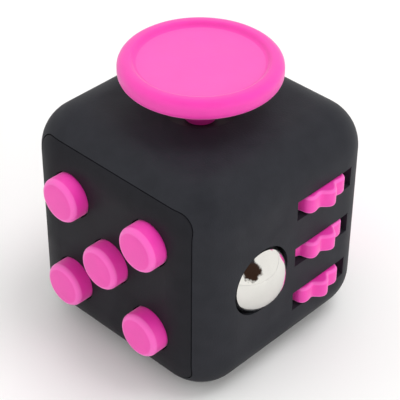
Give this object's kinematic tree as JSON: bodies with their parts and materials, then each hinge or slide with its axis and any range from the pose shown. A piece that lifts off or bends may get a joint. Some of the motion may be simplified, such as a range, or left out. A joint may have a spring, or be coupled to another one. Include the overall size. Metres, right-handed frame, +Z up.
{
  "type": "fidget cube",
  "caption": "Pocket desk toy: a rounded case with click buttons, a thumb glide pad, cog wheels, a click ball, a flip switch, a spin dial and a thumb dish.",
  "frame": {"origin": "Middle of the base, on the surface the cube stands on.", "axes": "+Z up through the glide pad. -Y out of the button face, +X out of the face with the cog wheels and the ball, +Y out of the dial face, -X out of the flip switch face."},
  "size_m": [0.0378, 0.0378, 0.04],
  "materials": {
    "case_plastic": "soft-touch, fine matte grain",
    "accent_plastic": "satin, rubbery",
    "inner_plastic": "moulded, plain",
    "silicone": "soft, matte",
    "ball_steel": "polished",
    "spring_steel": "rolled",
    "screw_steel": "zinc plated"
  },
  "bodies": {
    "case": {"body_sleeve": "case_plastic", "front_cover": "case_plastic", "rear_cover": "case_plastic", "click_dome_upper_left": "spring_steel", "click_dome_middle": "spring_steel", "click_dome_lower_right": "spring_steel", "silent_pad_upper_right": "silicone", "silent_pad_lower_left": "silicone", "button_tray": "inner_plastic", "tray_screws": "screw_steel", "glide_ring": "silicone", "retainer_plate": "inner_plastic", "retainer_screws": "screw_steel", "roll_frame": "inner_plastic", "roll_frame_screws": "screw_steel", "wheel_axle": "screw_steel", "wheel_spacers": "inner_plastic", "axle_washers": "screw_steel", "ball_click_dome": "spring_steel", "flip_pin": "screw_steel", "flip_frame": "inner_plastic", "flip_frame_screws": "screw_steel", "detent_spring": "spring_steel", "wave_washer": "spring_steel"},
    "upper_left_button": {"button_upper_left": "accent_plastic"},
    "upper_right_button": {"button_upper_right": "accent_plastic"},
    "middle_button": {"button_middle": "accent_plastic"},
    "lower_left_button": {"button_lower_left": "accent_plastic"},
    "lower_right_button": {"button_lower_right": "accent_plastic"},
    "glide_carriage": {"cross_slide": "inner_plastic"},
    "glide_thumb_pad": {"glide_pad": "accent_plastic", "glide_plate": "inner_plastic", "glide_screw": "screw_steel"},
    "upper_cog": {"upper_wheel": "accent_plastic"},
    "middle_cog": {"middle_wheel": "accent_plastic"},
    "lower_cog": {"lower_wheel": "accent_plastic"},
    "ball_carrier": {"ball_cup": "inner_plastic"},
    "rolling_ball": {"steel_ball": "ball_steel"},
    "flip_switch": {"flip_rocker": "accent_plastic"},
    "dial": {"spin_dial": "accent_plastic", "spin_washer": "screw_steel", "spin_screw": "screw_steel"}
  },
  "joints": [
    {"name": "press_upper_left", "type": "slide", "parent": "case", "child": "upper_left_button", "axis": [0, 1, 0], "range_m": [0, 0.0008], "stiffness_N_per_m": 600, "deforming": ["click_dome_upper_left"]},
    {"name": "press_upper_right", "type": "slide", "parent": "case", "child": "upper_right_button", "axis": [0, 1, 0], "range_m": [0, 0.0008], "stiffness_N_per_m": 400, "deforming": ["silent_pad_upper_right"]},
    {"name": "press_middle", "type": "slide", "parent": "case", "child": "middle_button", "axis": [0, 1, 0], "range_m": [0, 0.0008], "stiffness_N_per_m": 600, "deforming": ["click_dome_middle"]},
    {"name": "press_lower_left", "type": "slide", "parent": "case", "child": "lower_left_button", "axis": [0, 1, 0], "range_m": [0, 0.0008], "stiffness_N_per_m": 400, "deforming": ["silent_pad_lower_left"]},
    {"name": "press_lower_right", "type": "slide", "parent": "case", "child": "lower_right_button", "axis": [0, 1, 0], "range_m": [0, 0.0008], "stiffness_N_per_m": 600, "deforming": ["click_dome_lower_right"]},
    {"name": "glide_across", "type": "slide", "parent": "case", "child": "glide_carriage", "axis": [1, 0, 0], "range_m": [-0.0022, 0.0022], "stiffness_N_per_m": 150, "deforming": ["glide_ring"]},
    {"name": "glide_along", "type": "slide", "parent": "glide_carriage", "child": "glide_thumb_pad", "axis": [0, 1, 0], "range_m": [-0.0022, 0.0022], "stiffness_N_per_m": 150},
    {"name": "spin_upper_wheel", "type": "hinge", "parent": "case", "child": "upper_cog", "pos_m": [0.01235, 0.00595, 0.02405], "axis": [0, 0, 1], "continuous": true},
    {"name": "spin_middle_wheel", "type": "hinge", "parent": "case", "child": "middle_cog", "pos_m": [0.01235, 0.00595, 0.0165], "axis": [0, 0, 1], "continuous": true},
    {"name": "spin_lower_wheel", "type": "hinge", "parent": "case", "child": "lower_cog", "pos_m": [0.01235, 0.00595, 0.00895], "axis": [0, 0, 1], "continuous": true},
    {"name": "click_ball", "type": "slide", "parent": "case", "child": "ball_carrier", "axis": [-1, 0, 0], "range_m": [0, 0.0008], "stiffness_N_per_m": 900, "deforming": ["ball_click_dome"]},
    {"name": "roll_ball", "type": "hinge", "parent": "ball_carrier", "child": "rolling_ball", "pos_m": [0.0137, -0.00575, 0.0166], "axis": [0, 0, 1], "continuous": true},
    {"name": "flip_rocker_over", "type": "hinge", "parent": "case", "child": "flip_switch", "pos_m": [-0.0135, 0, 0.0165], "axis": [0, 1, 0], "range_deg": [0, 24], "deforming": ["detent_spring"]},
    {"name": "spin_dial_round", "type": "hinge", "parent": "case", "child": "dial", "pos_m": [0, 0.0166, 0.0165], "axis": [0, 1, 0], "continuous": true}
  ]
}
